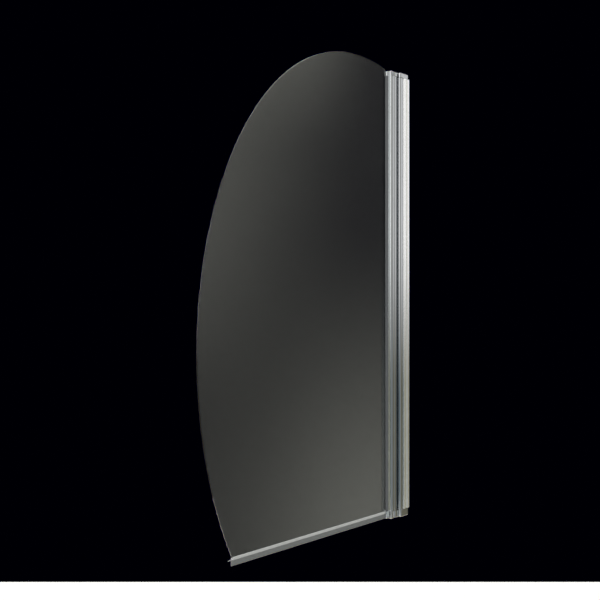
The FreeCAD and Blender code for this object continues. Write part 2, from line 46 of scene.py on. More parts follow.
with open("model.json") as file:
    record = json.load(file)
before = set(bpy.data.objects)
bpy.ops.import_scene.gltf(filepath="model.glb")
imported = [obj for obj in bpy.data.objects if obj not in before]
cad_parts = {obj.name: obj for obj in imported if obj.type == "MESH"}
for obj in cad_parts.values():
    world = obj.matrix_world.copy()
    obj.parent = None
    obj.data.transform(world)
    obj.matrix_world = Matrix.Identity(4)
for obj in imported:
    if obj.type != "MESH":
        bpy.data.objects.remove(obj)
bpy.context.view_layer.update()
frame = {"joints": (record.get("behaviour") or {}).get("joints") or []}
MM = 0.001
# Points this close count as one
NEAR = 0.01 * MM
# How far a tool runs past what it cuts, and a welded part into its body
OVER = 1 * MM

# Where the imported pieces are
CHANNEL_LOW, CHANNEL_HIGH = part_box("wall_channel")
POST_LOW, POST_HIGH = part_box("hinge_post")
PROFILE_LOW, PROFILE_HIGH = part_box("pivot_profile")
STRIP_LOW, STRIP_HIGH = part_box("seam_strip")
GLASS_LOW, GLASS_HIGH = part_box("glass_panel")
CLIP_LOW, CLIP_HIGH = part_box("seal_carrier")
WIPER_LOW, WIPER_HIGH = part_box("seal_wiper")
FIN_LOW, FIN_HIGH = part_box("seal_drip_fin")
SPACER_LOW, SPACER_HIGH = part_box("glass_spacers")
PIVOT = Vector(next(j["pos_m"] for j in frame["joints"] if j["name"] == "screen_pivot"))
ENDS = ("bottom", "top")
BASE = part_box("post_cap_bottom")[0].z
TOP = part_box("post_cap_top")[1].z

# Cross in a screw's head: half length and half width of an arm, and depth
CAP_SCREW_CROSS = (1.9 * MM, 0.45 * MM, 1.3 * MM)
ADJUSTER_CROSS = (2.0 * MM, 0.5 * MM, 1.4 * MM)


def linear(hex_colour):
    """A linear colour from an sRGB hex value."""
    parts = [int(hex_colour[i:i + 2], 16) / 255 for i in (1, 3, 5)]
    return [p / 12.92 if p <= 0.04045 else ((p + 0.055) / 1.055) ** 2.4 for p in parts]


def length(name, text, millimetres):
    """A size that a user may change. It is kept in metres."""
    return bpy.props.FloatProperty(
        name=name, description=text, default=millimetres * MM, unit="LENGTH", precision=5
    )


def angle(name, text, degrees):
    """A turn that a user may change."""
    return bpy.props.FloatProperty(
        name=name, description=text, default=math.radians(degrees), subtype="ANGLE"
    )


def colour(name, text, hex_colour):
    """A colour that a user may change."""
    return bpy.props.FloatVectorProperty(
        name=name, description=text, default=linear(hex_colour),
        size=3, subtype="COLOR", min=0, max=1,
    )


class ScreenSizes(bpy.types.PropertyGroup):
    """Sizes of the metal, the glass and the seals."""

    edge: length("Sharp edge", "Rounding of the extrusions' sharp edges", 0.2)
    small_edge: length("Small edge", "Rounding of the gaskets' and bushes' edges", 0.25)
    soft_edge: length("Soft edge", "Rounding of the packers' and the seal lips' edges", 0.3)
    thin_edge: length("Thin edge", "Rounding of the washers' edges and the covers' mouths", 0.15)
    rim: length("Cap rim", "Rounding of the end caps' outer rims", 1.6)
    channel_wall: length("Channel wall", "Wall of the channel on the wall", 2.2)
    channel_lip: length("Channel lip", "Rounding of the channel's two lips", 1.0)
    channel_flute_x: length("Channel flute", "Middle of the flute from the wall", -12.5)
    channel_flute_width: length("Channel flute width", "Width of the channel's flute", 7.0)
    channel_flute_depth: length("Channel flute depth", "Depth of the channel's flute", 0.9)
    wall_hole: length("Wall hole radius", "Holes for the wall screws", 2.75)
    wall_hole_inset: length("Wall hole inset", "End of the caps to the outer wall holes", 129.0)
    post_corner: length("Post corner", "Rounding of the post's two corners at the seam", 5.0)
    post_wall: length("Post wall", "Wall of the hinge post", 1.8)
    post_face_wall: length("Post face wall", "Thicker wall at the seam", 4.0)
    post_mouth: length("Post mouth", "Opening towards the wall", 20.0)
    strip_root: length("Strip root", "How deep the seam strip sits", 2.2)
    strip_edge: length("Strip edge", "Rounding of the seam strip's outer corners", 0.5)
    port_hole: length("Screw port", "Radius of the screw ports", 1.75)
    port_ring: length("Port ring", "Radius of the rings round the screw ports", 3.5)
    slack: length("Slack", "Room round parts that slip into each other", 0.3)
    spigot: length("Spigot", "How far the caps reach into the extrusions", 8.0)
    post_spigot: length("Post spigot", "Depth of the post caps' spigots", 14.0)
    profile_spigot: length("Profile spigot", "Depth of the pivot caps' spigots", 2.0)
    back_bead: length("Back bead", "Back gasket's bead along the glass", 1.8)
    front_gasket: length("Front gasket", "Front gasket between the slot and the glass", 2.0)
    back_gasket: length("Back gasket", "Back gasket between the slot and the glass", 1.5)
    gasket_grip: length("Gasket grip", "Gaskets' depth in the slot", 10.0)
    post_port_x: length("Post ports", "Distance of the post's ports from the wall", -30.0)
    post_port_y: length("Post port spacing", "Post's ports from its middle", 12.4)
    profile_port_x: length("Profile port", "Profile's port from the wall", -72.5)
    profile_port_y: length("Profile port side", "Profile's port from the middle", -7.5)
    profile_corner: length("Profile corner", "Rounding of the profile's dry corner", 3.0)
    profile_wall: length("Profile wall", "Wall of the pivot profile", 2.4)
    knuckle_bore: length("Knuckle bore", "Radius of the bore that holds the bushes", 6.5)
    slot_depth: length("Glass slot", "Depth of the slot that grips the glass", 12.5)
    wide_flute: length("Wide flute", "Width of the profile's flute near the glass", 5.0)
    wide_flute_depth: length("Wide flute depth", "Depth of the flute near the glass", 1.2)
    wide_flute_place: length("Wide flute place", "Flute near the glass from the pivot", 17.8)
    slim_flute: length("Slim flute", "Width of the profile's flute near the knuckle", 3.5)
    slim_flute_depth: length("Slim flute depth", "Depth of the flute near the knuckle", 0.6)
    slim_flute_place: length("Slim flute place", "Flute near the knuckle from the pivot", 6.7)
    sweep_centre_x: length("Sweep centre", "Middle of the edge's ellipse from the wall", -183.0)
    sweep_centre_z: length("Sweep centre height", "Middle of the ellipse above the caps", 498.5)
    sweep_lean: angle("Sweep lean", "Lean of the ellipse's long axis away from the wall", 3.3)
    glass_arris: length("Glass arris", "Ground and polished edge of the glass", 0.7)
    glass_corner: length("Glass corner", "Rounding of the glass's low outer corner", 4.0)
    glass_clip: length("Clipped corner", "Start of the clipped corner under the cap top", 16.0)
    packer: length("Packer", "Length of the packers behind the glass", 60.0)
    cap_roof: length("Cap roof", "Top cap over the clipped corner of the glass", 3.0)
    nose_front: length("Nose front", "Dry side of the pivot caps' noses", -1.5)
    nose_round: length("Nose round", "Rounding of the noses", 3.5)
    boss_gap: length("Boss gap", "Boss to the end of the knuckle", 2.0)
    head_seat_bottom: length("Bottom screw seat", "Screw head's seat in the bottom caps", 12.0)
    head_seat_top: length("Top screw seat", "Screw head's seat in the top caps", 6.0)
    counterbore: length("Counterbore radius", "Room for a screw head in a cap", 3.7)
    cap_screw: length("Cap screw radius", "Shank of the cap screws", 1.7)
    cap_screw_head: length("Cap screw head", "Radius of the cap screws' pan heads", 3.3)
    cap_screw_crown: length("Cap screw crown", "Rounding of the cap screws' heads", 1.1)
    cap_screw_tip: length("Cap screw tip", "Rounding of the cap screws' tips", 0.8)
    cap_screw_bite: length("Cap screw bite", "How far the screws reach into their ports", 12.0)
    head_height: length("Head height", "Height of the pan heads", 2.4)
    pin: length("Pin radius", "Steel pivot pins", 4.0)
    pin_edge: length("Pin edge", "Rounding of the pins' ends", 0.6)
    pin_reach: length("Pin reach", "How far a pin reaches into its bush", 16.0)
    pin_seat_bottom: length("Bottom pin seat", "How deep the bottom pin sits in its boss", 14.0)
    pin_seat_top: length("Top pin seat", "How deep the top pin sits in its boss", 8.0)
    bush_bore: length("Bush bore", "Radius of the nylon bushes' bore", 4.06)
    bush_flange: length("Bush flange", "Radius of the bushes' flanges", 10.0)
    bush_flange_thickness: length("Flange thickness", "Thickness of the bushes' flanges", 1.9)
    adjuster_x: length("Adjuster place", "Adjuster screws from the wall", -8.0)
    adjuster_inset: length("Adjuster inset", "End of the caps to the outer adjusters", 239.0)
    adjuster_travel: length("Adjuster travel", "Travel that the slots allow", 12.0)
    adjuster_slot: length("Adjuster slot", "Half width of the slots", 2.2)
    adjuster_screw: length("Adjuster screw", "Shank of the adjuster screws", 1.95)
    adjuster_head: length("Adjuster head", "Radius of the adjuster screws' heads", 3.6)
    adjuster_crown: length("Adjuster crown", "Rounding of the adjuster screws' heads", 1.0)
    adjuster_tip: length("Adjuster tip", "Rounding of the adjuster screws' tips", 0.9)
    adjuster_bite: length("Adjuster bite", "Adjuster screw below the post's side", 7.0)
    washer: length("Washer radius", "Washers under the adjuster screws", 5.0)
    washer_hole: length("Washer hole", "Hole of the washers", 2.1)
    washer_gap: length("Washer gap", "Washer to the channel", 0.1)
    washer_thickness: length("Washer thickness", "Thickness of the washers", 1.0)
    cover: length("Cover radius", "Push-on covers over the adjuster screws", 5.9)
    cover_wall: length("Cover wall", "Wall of the covers", 0.8)
    cover_crown: length("Cover crown", "Rounding of the covers' outer edge", 1.2)
    clip_front_drop: length("Clip front", "Dry wall of the clip below its full height", 1.5)
    clip_back_drop: length("Clip back", "Wet wall of the clip below its full height", 4.8)
    clip_trim: length("Clip trim", "Clip's free end short of the lips' ends", 6.0)
    clip_edge: length("Clip edge", "Rounding of the clip's edges", 0.4)
    fin_slope: angle("Fin slope", "Fall of the drip fin from level", 34.9)
    lip_thickness: length("Fin thickness", "Thickness of the drip fin", 1.4)


class ScreenColours(bpy.types.PropertyGroup):
    """Colours of the finishes."""

    chrome: colour("Chrome", "Chrome plate on the post, the profile and the caps", "#B2B4B6")
    bright: colour("Bright aluminium", "Bright anodised wall channel", "#F9F9F8")
    steel: colour("Stainless steel", "Screws, washers and pins", "#BFC0C0")
    nylon: colour("Nylon", "Bushes and glass packers", "#E4E3DC")
    strip: colour("Seam rubber", "Strip between the post and the knuckle", "#161716")
    gasket: colour("Gasket", "Glazing gaskets", "#454749")
    glass: colour("Glass", "Tint of the clear glass", "#F4F8F6")
    clip: colour("Seal clip", "Clip of the bottom seal", "#B4B6B5")
    lip: colour("Seal lips", "Wiper and drip fin of the bottom seal", "#686A6B")
    floor: colour("Floor", "Plain pale floor", "#E2E1DD")
    backdrop: colour("Background", "Dark background of the photograph", "#000004")


# Modelling helpers


def put_down():
    """Leave edit mode with nothing selected."""
    if bpy.context.mode != "OBJECT":
        bpy.ops.object.mode_set(mode="OBJECT")
    bpy.ops.object.select_all(action="DESELECT")


def pick_up(piece):
    """Select one piece alone and make it active."""
    put_down()
    piece.select_set(True)
    bpy.context.view_layer.objects.active = piece


def settle():
    """Move the active piece's place, turn and size into its mesh."""
    bpy.ops.object.transform_apply(location=True, rotation=True, scale=True)
    return bpy.context.object


def block(low, high):
    """A square-cornered block between its lowest and highest corners."""
    put_down()
    low, high = Vector(low), Vector(high)
    bpy.ops.mesh.primitive_cube_add(size=1, location=(low + high) / 2)
    bpy.context.object.scale = high - low
    return settle()


def span_block(x, y, z):
    """A block from pairs of X, Y and Z limits in either order."""
    return block([min(pair) for pair in (x, y, z)], [max(pair) for pair in (x, y, z)])


def rod(start, axis, radius, reach, sides=64):
    """A round bar from a point along X, Y or Z."""
    put_down()
    turn = {"X": (0, math.pi / 2, 0), "Y": (math.pi / 2, 0, 0), "Z": (0, 0, 0)}[axis]
    middle = Vector(start)
    middle["XYZ".index(axis)] += reach / 2
    bpy.ops.mesh.primitive_cylinder_add(
        vertices=sides, radius=radius, depth=abs(reach), location=middle, rotation=turn
    )
    return settle()


def flute(x, side, face, width, depth, low, high):
    """The tool for a shallow round groove up a flat face at Y = side * face."""
    radius = (width * width / 4 + depth * depth) / (2 * depth)
    return rod((x, side * (face + radius - depth), low), "Z", radius, high - low, sides=192)


def combine(piece, other, operation):
    """Apply a boolean of another piece, which is used up."""
    pick_up(piece)
    step = piece.modifiers.new("combine", "BOOLEAN")
    step.operation = operation
    step.solver = "EXACT"
    step.object = other
    bpy.ops.object.modifier_apply(modifier=step.name)
    bpy.data.objects.remove(other)
    return piece


def carve(piece, tool):
    """Cut a tool out of the piece."""
    return combine(piece, tool, "DIFFERENCE")


def weld(piece, other):
    """Make one body of two pieces that overlap."""
    return combine(piece, other, "UNION")


def pick(piece, kind, wanted):
    """Go into edit mode with only the wanted points, edges or faces selected."""
    pick_up(piece)
    bpy.ops.object.mode_set(mode="EDIT")
    bpy.ops.mesh.select_mode(type=kind)
    bpy.ops.mesh.select_all(action="DESELECT")
    bpy.ops.object.mode_set(mode="OBJECT")
    mesh = piece.data
    for element in {"VERT": mesh.vertices, "EDGE": mesh.edges, "FACE": mesh.polygons}[kind]:
        element.select = wanted(element)
    bpy.ops.object.mode_set(mode="EDIT")


def round_edges(piece, wanted, radius, segments=8):
    """Bevel the edges whose two ends suit wanted."""
    pick(piece, "EDGE", lambda edge: wanted(*(piece.data.vertices[i].co for i in edge.vertices)))
    bpy.ops.mesh.bevel(offset=radius, segments=segments, affect="EDGES")
    bpy.ops.object.mode_set(mode="OBJECT")
    return piece


def round_uprights(piece, corners, segments=8):
    """Round upright edges, given as (x, y, radius) corners."""
    for x, y, radius in corners:
        def at_corner(a, b):
            here = all(math.hypot(p.x - x, p.y - y) < NEAR for p in (a, b))
            return here and abs(a.z - b.z) > MM
        round_edges(piece, at_corner, radius, segments)
    return piece


def round_end(piece, z, radius, segments=5):
    """Bevel the rim of a body's end at one height."""
    return round_edges(
        piece, lambda a, b: max(abs(a.z - z), abs(b.z - z)) < NEAR, radius, segments
    )


def merge_flats(piece):
    """Make one face of the coplanar faces that a weld leaves."""
    pick_up(piece)
    bpy.ops.object.mode_set(mode="EDIT")
    bpy.ops.mesh.select_all(action="SELECT")
    bpy.ops.mesh.remove_doubles(threshold=0.002 * MM)
    bpy.ops.mesh.dissolve_limited(angle_limit=math.radians(0.2))
    bpy.ops.object.mode_set(mode="OBJECT")
    return piece


def slice_off(piece, point, normal, fill=True):
    """Cut away what lies beyond a plane, on the side that its normal points to."""
    pick_up(piece)
    bpy.ops.object.mode_set(mode="EDIT")
    bpy.ops.mesh.select_all(action="SELECT")
    bpy.ops.mesh.bisect(
        plane_co=point, plane_no=normal, use_fill=fill, clear_outer=True, threshold=1e-7
    )
    bpy.ops.object.mode_set(mode="OBJECT")
    return piece


def ease(piece, width, segments=2, limit=35):
    """Take the sharpness off every edge that turns by more than the limit, in degrees."""
    pick_up(piece)
    step = piece.modifiers.new("ease", "BEVEL")
    step.width = width
    step.segments = segments
    step.limit_method = "ANGLE"
    step.angle_limit = math.radians(limit)
    step.miter_outer = "MITER_ARC"
    bpy.ops.object.modifier_apply(modifier=step.name)
    return piece


def smooth(piece, limit=30):
    """Shade rounded faces smoothly and keep flat faces flat."""
    pick_up(piece)
    bpy.ops.object.shade_smooth_by_angle(angle=math.radians(limit))
    step = piece.modifiers.new("flat faces", "WEIGHTED_NORMAL")
    step.weight = 100
    step.keep_sharp = True
    bpy.ops.object.modifier_apply(modifier=step.name)
    return piece


def copy_to(piece, shift):
    """A copy with its own mesh, moved by a shift."""
    pick_up(piece)
    bpy.ops.object.duplicate(linked=False)
    bpy.context.object.location = shift
    return settle()


def present(piece, name, body, finish_name, node):
    """Name a finished piece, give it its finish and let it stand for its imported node."""
    piece.name = name
    piece.data.name = name
    piece.data.materials.clear()
    piece.data.materials.append(finish(finish_name))
    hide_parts(node)
    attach(piece, body)


# Finishes


def add_node(tree, kind, values=None, links=None, **settings):
    """Add a node with its settings, its input values and its links from other sockets."""
    node = tree.nodes.new(kind)
    for name, value in settings.items():
        setattr(node, name, value)
    for name, value in (values or {}).items():
        node.inputs[name].default_value = value
    for name, socket in (links or {}).items():
        tree.links.new(socket, node.inputs[name])
    return node


def grained(name, tint, grain, rough, relief, shade=0.94, **values):
    """A finish whose grain, in mm along X, Y and Z, stirs its colour, roughness and relief."""
    material = bpy.data.materials.new(name)
    material.use_nodes = True
    tree = material.node_tree
    shader = tree.nodes["Principled BSDF"]
    for key, value in values.items():
        shader.inputs[key.replace("_", " ")].default_value = value
    place = add_node(tree, "ShaderNodeTexCoord").outputs["Object"]
    fine_scale = [1 / (size * MM) for size in grain]
    fine_place = add_node(tree, "ShaderNodeMapping", {"Scale": fine_scale}, {"Vector": place})
    fine = add_node(
        tree, "ShaderNodeTexNoise", {"Scale": 1.0, "Detail": 3.0, "Roughness": 0.55},
        {"Vector": fine_place.outputs["Vector"]},
    )
    # Handling and dried water haze: soft patches about 45 mm across
    broad = add_node(
        tree, "ShaderNodeTexNoise", {"Scale": 1 / (45 * MM), "Detail": 2.0}, {"Vector": place}
    )
    # Seven parts of the fine grain to three of the haze
    fine_part = add_node(
        tree, "ShaderNodeMath", {1: 0.7}, {0: fine.outputs["Fac"]}, operation="MULTIPLY"
    )
    stirred = add_node(
        tree, "ShaderNodeMath", {1: 0.3},
        {0: broad.outputs["Fac"], 2: fine_part.outputs["Value"]}, operation="MULTIPLY_ADD",
    )
    span = add_node(
        tree, "ShaderNodeMapRange", {"From Min": 0.38, "From Max": 0.62},
        {"Value": stirred.outputs["Value"]},
    )
    rough_span = add_node(
        tree, "ShaderNodeMapRange", {"To Min": rough[0], "To Max": rough[1]},
        {"Value": span.outputs["Result"]},
    )
    tree.links.new(rough_span.outputs["Result"], shader.inputs["Roughness"])
    blend = add_node(tree, "ShaderNodeMix", data_type="RGBA")
    blend.inputs["A"].default_value = (*(c * shade for c in tint), 1)
    blend.inputs["B"].default_value = (*tint, 1)
    tree.links.new(span.outputs["Result"], blend.inputs["Factor"])
    tree.links.new(blend.outputs["Result"], shader.inputs["Base Color"])
    bump = add_node(
        tree, "ShaderNodeBump", {"Strength": 1.0, "Distance": relief * MM},
        {"Height": fine.outputs["Fac"]},
    )
    tree.links.new(bump.outputs["Normal"], shader.inputs["Normal"])


def clear_glass(name, tint):
    """Clear glass that lets shadow rays pass, so light reaches the far side."""
    material = bpy.data.materials.new(name)
    material.use_nodes = True
    tree = material.node_tree
    shader = tree.nodes["Principled BSDF"]
    shader.inputs["Base Color"].default_value = (*tint, 1)
    shader.inputs["Roughness"].default_value = 0.0
    shader.inputs["IOR"].default_value = 1.52
    shader.inputs["Transmission Weight"].default_value = 1.0
    place = add_node(tree, "ShaderNodeTexCoord").outputs["Object"]
    wave = add_node(
        tree, "ShaderNodeTexNoise", {"Scale": 1 / (240 * MM), "Detail": 0.0}, {"Vector": place}
    )
    bump = add_node(
        tree, "ShaderNodeBump", {"Strength": 1.0, "Distance": 0.04 * MM},
        {"Height": wave.outputs["Fac"]},
    )
    tree.links.new(bump.outputs["Normal"], shader.inputs["Normal"])
    clear = add_node(tree, "ShaderNodeBsdfTransparent")
    path = add_node(tree, "ShaderNodeLightPath")
    mixed = add_node(
        tree, "ShaderNodeMixShader",
        links={0: path.outputs["Is Shadow Ray"], 1: shader.outputs["BSDF"],
               2: clear.outputs["BSDF"]},
    )
    tree.links.new(mixed.outputs["Shader"], tree.nodes["Material Output"].inputs["Surface"])


# Each finish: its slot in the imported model, its colour, and the settings that grained makes it
# from. The floor has no slot, and clear_glass makes the glass.
FINISHES = {
    # Aluminium drawn through a die, polished and chrome plated: a mirror that is a little
    # stretched up and down, with faint upright lines about 0.8 mm apart
    "chromed_extrusion": ("polished_aluminium", "chrome", dict(
        grain=(0.8, 0.8, 160), rough=(0.03, 0.07), relief=0.0003, Metallic=1.0)),
    # Bright-dipped and anodised aluminium: paler and softer than chrome, with upright die lines
    "bright_anodised_aluminium": ("polished_aluminium", "bright", dict(
        grain=(0.9, 0.9, 220), rough=(0.09, 0.16), relief=0.0006, Metallic=1.0)),
    # Chrome on a cast and buffed cap: a mirror with a faint orange peel about 3 mm across
    "chromed_casting": ("chromed_caps", "chrome", dict(
        grain=(3, 3, 3), rough=(0.03, 0.07), relief=0.0012, Metallic=1.0)),
    # Turned stainless steel: a grey, slightly blurred mirror. The tool marks are drawn 0.5 mm
    # apart, coarser than real ones, so that they show
    "turned_stainless_steel": ("stainless_steel", "steel", dict(
        grain=(0.5, 0.5, 0.5), rough=(0.22, 0.36), relief=0.0012, Metallic=1.0)),
    # Moulded nylon: waxy off-white with a fine texture and a low sheen
    "moulded_nylon": ("white_nylon", "nylon", dict(
        grain=(0.7, 0.7, 0.7), rough=(0.38, 0.52), relief=0.003, IOR=1.53,
        Subsurface_Weight=0.1)),
    # Extruded EPDM rubber: near black, matt, with faint lines along its run
    "epdm_rubber": ("black_rubber", "strip", dict(
        grain=(0.5, 0.5, 40), rough=(0.5, 0.66), relief=0.004, shade=0.8, IOR=1.5)),
    # Extruded grey vinyl: satin, with faint lines along its run
    "grey_vinyl": ("grey_gasket", "gasket", dict(
        grain=(0.6, 0.6, 50), rough=(0.34, 0.46), relief=0.003, shade=0.9, IOR=1.53)),
    # Extruded hard PVC: light grey and glossy, with slow waves along its run
    "hard_pvc": ("seal_clip_plastic", "clip", dict(
        grain=(70, 0.8, 0.8), rough=(0.2, 0.3), relief=0.002, IOR=1.53)),
    # Soft clear-grey PVC: dull, with a slight sheen and lines along its run
    "soft_pvc": ("seal_lip_plastic", "lip", dict(
        grain=(50, 0.6, 0.6), rough=(0.36, 0.5), relief=0.003, shade=0.9, IOR=1.53)),
    # Float glass, toughened: clear and mirror smooth, with the slow roller wave of the furnace,
    # about 240 mm long
    "toughened_glass": ("clear_glass", "glass", None),
    # Matt painted floor: pale, with a very faint mottle
    "painted_floor": (None, "floor", dict(
        grain=(60, 60, 60), rough=(0.6, 0.7), relief=0.02, shade=0.98, IOR=1.45)),
}


def finish(name):
    """A finish by name, made when it is first asked for."""
    if name not in bpy.data.materials:
        tint_name, settings = FINISHES[name][1:]
        tint = getattr(bpy.context.scene.bath_screen_colours, tint_name)
        if settings:
            grained(name, tint, **settings)
        else:
            clear_glass(name, tint)
    return bpy.data.materials[name]


# Pieces


def fixing_heights(inset):
    """Heights of the low, middle and high fixing, an inset from each end of the caps."""
    return BASE + inset, 0.0, TOP - inset


def cap_levels(end):
    """Outer end, inner end and inward direction of the caps at one end."""
    return (BASE, PROFILE_LOW.z, 1) if end == "bottom" else (TOP, PROFILE_HIGH.z, -1)


def make_wall_channel(s):
    low, high = CHANNEL_LOW, CHANNEL_HIGH
    body = block(low, high)
    round_uprights(body, [(low.x, low.y, s.channel_lip), (low.x, high.y, s.channel_lip)], 5)
    wall = s.channel_wall
    ends = (low.z - OVER, high.z + OVER)
    carve(body, span_block((low.x - OVER, -wall), (low.y + wall, high.y - wall), ends))
    groove = (s.channel_flute_width, s.channel_flute_depth)
    carve(body, flute(s.channel_flute_x, -1, high.y, *groove, *ends))
    through = wall + 2 * OVER
    for z in fixing_heights(s.wall_hole_inset):
        carve(body, rod((-wall - OVER, 0, z), "X", s.wall_hole, through))
    y, half = high.y - wall - OVER, s.adjuster_slot
    slot_x = (s.adjuster_x - s.adjuster_travel, s.adjuster_x)
    for z in fixing_heights(s.adjuster_inset):
        carve(body, span_block(slot_x, (y, y + through), (z - half, z + half)))
        for x in slot_x:
            carve(body, rod((x, y, z), "Y", half, through))
    return smooth(ease(body, s.edge))


def make_hinge_post(s):
    low, high = POST_LOW, POST_HIGH
    body = block(low, high)
    round_uprights(body, [(low.x, low.y, s.post_corner), (low.x, high.y, s.post_corner)], 12)
    wall, mouth = s.post_wall, s.post_mouth / 2
    ends = (low.z - OVER, high.z + OVER)
    inner = high.y - wall
    carve(body, span_block((low.x + s.post_face_wall, high.x - wall), (-inner, inner), ends))
    carve(body, span_block((high.x - wall - OVER, high.x + OVER), (-mouth, mouth), ends))
    strip_y = (STRIP_LOW.y, STRIP_HIGH.y)
    carve(body, span_block((low.x - OVER, low.x + s.strip_root), strip_y, ends))
    for y in (-s.post_port_y, s.post_port_y):
        weld(body, rod((s.post_port_x, y, low.z), "Z", s.port_ring, high.z - low.z))
        carve(body, rod((s.post_port_x, y, ends[0]), "Z", s.port_hole, ends[1] - ends[0]))
    for z in fixing_heights(s.adjuster_inset):
        place = (s.adjuster_x, inner - OVER, z)
        carve(body, rod(place, "Y", s.adjuster_screw, wall + 2 * OVER))
    return smooth(ease(body, s.edge))


def make_seam_strip(s):
    body = block(STRIP_LOW, STRIP_HIGH)
    outer = [(STRIP_LOW.x, y, s.strip_edge) for y in (STRIP_LOW.y, STRIP_HIGH.y)]
    return smooth(round_uprights(body, outer, 4))


def make_pivot_profile(s):
    low, high = PROFILE_LOW, PROFILE_HIGH
    ends = (low.z - OVER, high.z + OVER)
    tall, drilled = high.z - low.z, ends[1] - ends[0]
    body = span_block((low.x, PIVOT.x), (low.y, high.y), (low.z, high.z))
    corner = s.profile_corner
    round_uprights(body, [(low.x, low.y, corner), (low.x, high.y, corner / 2)])
    weld(body, rod((PIVOT.x, 0, low.z), "Z", high.y, tall, 128))
    slot_y = (GLASS_LOW.y - s.front_gasket, GLASS_HIGH.y + s.back_gasket)
    carve(body, span_block((low.x - OVER, low.x + s.slot_depth), slot_y, ends))
    carve(body, rod((PIVOT.x, 0, ends[0]), "Z", s.knuckle_bore, drilled, 96))
    wall = s.profile_wall
    hollow_x = (low.x + wall, PIVOT.x - s.knuckle_bore - wall)
    carve(body, span_block(hollow_x, (low.y + wall, slot_y[0] - wall / 2), ends))
    port_x, port_y = s.profile_port_x, s.profile_port_y
    weld(body, rod((port_x, port_y, low.z), "Z", s.port_ring, tall))
    carve(body, rod((port_x, port_y, ends[0]), "Z", s.port_hole, drilled))
    wide_x, slim_x = PIVOT.x - s.wide_flute_place, PIVOT.x - s.slim_flute_place
    for side, wide_depth in ((-1, s.wide_flute_depth), (1, s.slim_flute_depth)):
        carve(body, flute(wide_x, side, high.y, s.wide_flute, wide_depth, *ends))
        carve(body, flute(slim_x, side, high.y, s.slim_flute, s.slim_flute_depth, *ends))
    return smooth(ease(body, s.edge))


def carve_screw_hole(s, cap, x, y, end):
    """Cut the hole for a cap screw and the room for its head."""
    outer, inner, inward = cap_levels(end)
    over = inward * OVER
    seat = inward * getattr(s, "head_seat_" + end)
    carve(cap, rod((x, y, outer - over), "Z", s.counterbore, seat + over))
    deep = inner - outer + 2 * over
    carve(cap, rod((x, y, outer - over), "Z", s.cap_screw + s.slack, deep))


def make_post_cap(s, end):
    outer, inner, inward = cap_levels(end)
    low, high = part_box("post_cap_" + end)
    left, corner = POST_LOW.x, s.post_corner
    body = span_block((left, high.x), (low.y, high.y), (outer, inner))
    for x, radius in ((left, corner), (high.x, corner / 2)):
        round_uprights(body, [(x, low.y, radius), (x, high.y, radius)], 12)
    boss_end = inner - inward * s.boss_gap
    # Half a round bar, drawn out from its flat side into the body
    eye = rod((PIVOT.x, 0, outer), "Z", PIVOT.x - low.x, boss_end - outer, 96)
    slice_off(eye, PIVOT, (1, 0, 0))
    pick(eye, "FACE", lambda face: face.normal.x > 0.9)
    drawn = left + 2 * corner - PIVOT.x
    bpy.ops.mesh.extrude_region_move(TRANSFORM_OT_translate={"value": (drawn, 0, 0)})
    put_down()
    weld(body, eye)
    round_end(merge_flats(body), outer, s.rim)
    round_end(body, inner, s.edge, 2)
    spigot_x = left + s.post_face_wall + s.slack
    half = s.post_port_y - s.port_ring - s.slack
    levels = (inner - inward * OVER, inner + inward * s.spigot)
    weld(body, span_block((spigot_x, spigot_x + s.post_spigot), (-half, half), levels))
    for y in (-s.post_port_y, s.post_port_y):
        carve_screw_hole(s, body, s.post_port_x, y, end)
    seat = getattr(s, "pin_seat_" + end)
    place = (PIVOT.x, 0, boss_end - inward * seat)
    carve(body, rod(place, "Z", s.pin, inward * (seat + OVER)))
    return smooth(body)


def make_pivot_cap(s, end):
    outer, inner, inward = cap_levels(end)
    low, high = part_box("pivot_cap_" + end)
    left, corner = PROFILE_LOW.x, s.profile_corner
    body = span_block((left, high.x), (low.y, high.y), (outer, inner))
    round_uprights(body, [(left, low.y, corner), (left, high.y, corner / 2)])
    nose = span_block((low.x, left + corner), (s.nose_front, high.y), (outer, inner))
    # A short nose is rounded over seven eighths of its reach
    bend = min(s.nose_round, (left - low.x) * 0.875)
    round_uprights(nose, [(low.x, s.nose_front, bend), (low.x, high.y, bend)], 10)
    weld(body, nose)
    round_end(merge_flats(body), outer, s.rim)
    round_end(body, inner, s.edge, 2)
    wall, gap = s.profile_wall, s.slack
    spigot_x = left + wall + gap
    spigot_y = (low.y + wall + gap, GLASS_LOW.y - s.front_gasket - wall / 2 - gap)
    levels = (inner - inward * OVER, inner + inward * s.spigot)
    weld(body, span_block((spigot_x, spigot_x + s.profile_spigot), spigot_y, levels))
    # Room for the glass: the bottom cap is open above it, the top cap roofs its clipped corner
    glass_y = (GLASS_LOW.y - gap, GLASS_HIGH.y + gap)
    edge_x = GLASS_HIGH.x + gap
    if end == "bottom":
        room_z = (GLASS_LOW.z - gap, inner + OVER)
        carve(body, span_block((low.x - OVER, edge_x), glass_y, room_z))
    else:
        room_z = (inner - OVER, outer - s.cap_roof)
        carve(body, span_block((left - OVER, edge_x), glass_y, room_z))
        carve(body, span_block((low.x - OVER, left), glass_y, (inner - OVER, outer + OVER)))
    carve_screw_hole(s, body, s.profile_port_x, s.profile_port_y, end)
    return smooth(body)


